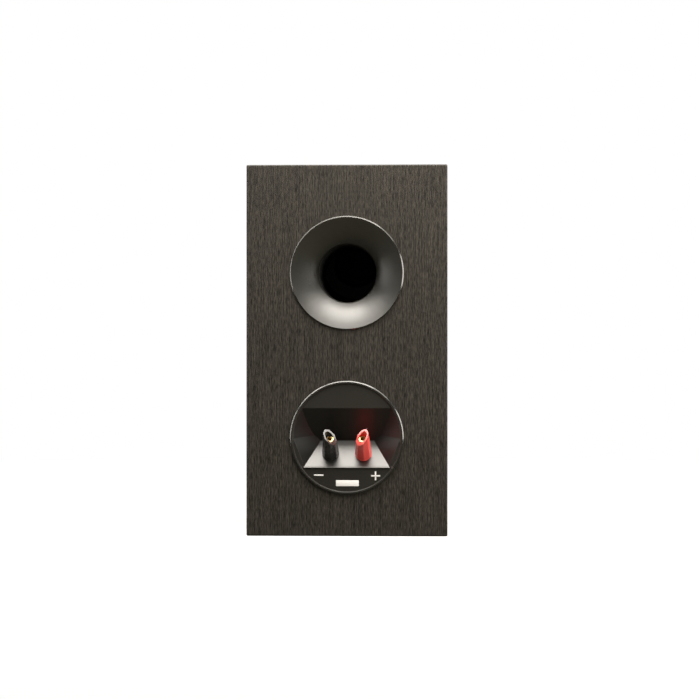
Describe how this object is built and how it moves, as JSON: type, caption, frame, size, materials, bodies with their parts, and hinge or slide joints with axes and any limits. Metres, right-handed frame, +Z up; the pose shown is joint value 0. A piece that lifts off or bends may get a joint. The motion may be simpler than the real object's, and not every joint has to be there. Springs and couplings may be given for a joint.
{
  "type": "bookshelf speaker",
  "caption": "Two-way ported bookshelf loudspeaker: wrapped cabinet, woofer and dome tweeter in front, flared port and screw terminals behind.",
  "frame": {"origin": "middle of the cabinet's underside", "axes": "+Z up, the drivers face -Y, the port and terminals face +Y"},
  "size_m": [0.168, 0.2612, 0.31],
  "materials": {
    "wrap": "dark vertical-grain vinyl wrap, satin",
    "baffle_paint": "satin black paint on fibreboard",
    "fibreboard": "raw fibreboard",
    "felt": "grey felt",
    "black_moulding": "satin black moulding",
    "black_cap": "smooth black plastic",
    "red_cap": "smooth red plastic",
    "gold": "gold-plated brass",
    "steel": "zinc-plated steel",
    "ferrite": "dull ferrite",
    "frame_paint": "satin black paint on a die-cast frame",
    "rubber": "soft black rubber",
    "cone_paper": "black felted paper",
    "dome_cloth": "coated black silk",
    "spider_cloth": "resin-dipped cloth",
    "gasket_foam": "closed-cell foam",
    "copper": "enamelled copper wire",
    "former_foil": "thin foil tube",
    "screw_black": "blackened steel screws",
    "tab_metal": "tinned brass",
    "board": "green circuit board",
    "component_film": "film capacitor sleeve",
    "component_ceramic": "cement resistor",
    "lead_cover": "insulated lead"
  },
  "bodies": {
    "cabinet": {"left_side_panel": "wrap", "right_side_panel": "wrap", "top_panel": "wrap", "bottom_panel": "wrap", "back_panel": "wrap", "front_baffle": "baffle_paint", "window_brace": "fibreboard", "felt_lining": "felt", "port_flare": "black_moulding", "port_tube": "black_moulding", "terminal_cup": "black_moulding", "negative_base": "black_cap", "positive_base": "red_cap", "negative_stud": "gold", "positive_stud": "gold", "negative_solder_tag": "tab_metal", "positive_solder_tag": "tab_metal", "negative_nut": "steel", "positive_nut": "steel", "woofer_basket": "frame_paint", "woofer_gasket": "gasket_foam", "woofer_surround": "rubber", "woofer_spider": "spider_cloth", "woofer_top_plate": "steel", "woofer_magnet": "ferrite", "woofer_yoke": "steel", "woofer_screws": "screw_black", "woofer_tabs": "tab_metal", "tweeter_faceplate": "black_moulding", "tweeter_gasket": "gasket_foam", "tweeter_surround": "dome_cloth", "tweeter_top_plate": "steel", "tweeter_magnet": "ferrite", "tweeter_yoke": "steel", "tweeter_rear_chamber": "black_moulding", "tweeter_screws": "screw_black", "tweeter_tabs": "tab_metal", "crossover_board": "board", "board_spacers": "black_moulding", "board_screws": "steel", "crossover_bobbins": "black_moulding", "crossover_windings": "copper", "crossover_capacitors": "component_film", "crossover_resistor": "component_ceramic", "input_leads": "lead_cover", "woofer_leads": "lead_cover", "tweeter_leads": "lead_cover"},
    "woofer_diaphragm": {"woofer_cone": "cone_paper", "woofer_dust_cap": "cone_paper", "woofer_coil_former": "former_foil", "woofer_winding": "copper"},
    "tweeter_diaphragm": {"tweeter_dome": "dome_cloth", "tweeter_coil_former": "former_foil", "tweeter_winding": "copper"},
    "negative_washer_body": {"negative_clamp_washer": "gold"},
    "negative_knob_body": {"negative_knob": "black_cap", "negative_knob_insert": "gold"},
    "positive_washer_body": {"positive_clamp_washer": "gold"},
    "positive_knob_body": {"positive_knob": "red_cap", "positive_knob_insert": "gold"}
  },
  "joints": [
    {"name": "woofer_excursion", "type": "slide", "parent": "cabinet", "child": "woofer_diaphragm", "axis": [0, -1, 0], "range_m": [-0.005, 0.005], "stiffness_N_per_m": 1100, "deforming": ["woofer_surround", "woofer_spider"]},
    {"name": "tweeter_excursion", "type": "slide", "parent": "cabinet", "child": "tweeter_diaphragm", "axis": [0, -1, 0], "range_m": [-0.0004, 0.0004], "stiffness_N_per_m": 9000, "deforming": ["tweeter_surround"]},
    {"name": "negative_washer_travel", "type": "slide", "parent": "cabinet", "child": "negative_washer_body", "axis": [0, 0.7986, 0.6018], "range_m": [0, 0.00526]},
    {"name": "negative_knob_turn", "type": "hinge", "parent": "negative_washer_body", "child": "negative_knob_body", "pos_m": [0.0137, 0.11363, 0.0681], "axis": [0, 0.7986, 0.6018], "range_deg": [0, 1890]},
    {"name": "positive_washer_travel", "type": "slide", "parent": "cabinet", "child": "positive_washer_body", "axis": [0, 0.7986, 0.6018], "range_m": [0, 0.00526]},
    {"name": "positive_knob_turn", "type": "hinge", "parent": "positive_washer_body", "child": "positive_knob_body", "pos_m": [-0.0137, 0.11363, 0.0681], "axis": [0, 0.7986, 0.6018], "range_deg": [0, 1890]}
  ],
  "couplings": [
    {"joint": "negative_washer_travel", "follows": "negative_knob_turn", "m_per_rad": 0.00015915},
    {"joint": "positive_washer_travel", "follows": "positive_knob_turn", "m_per_rad": 0.00015915}
  ]
}
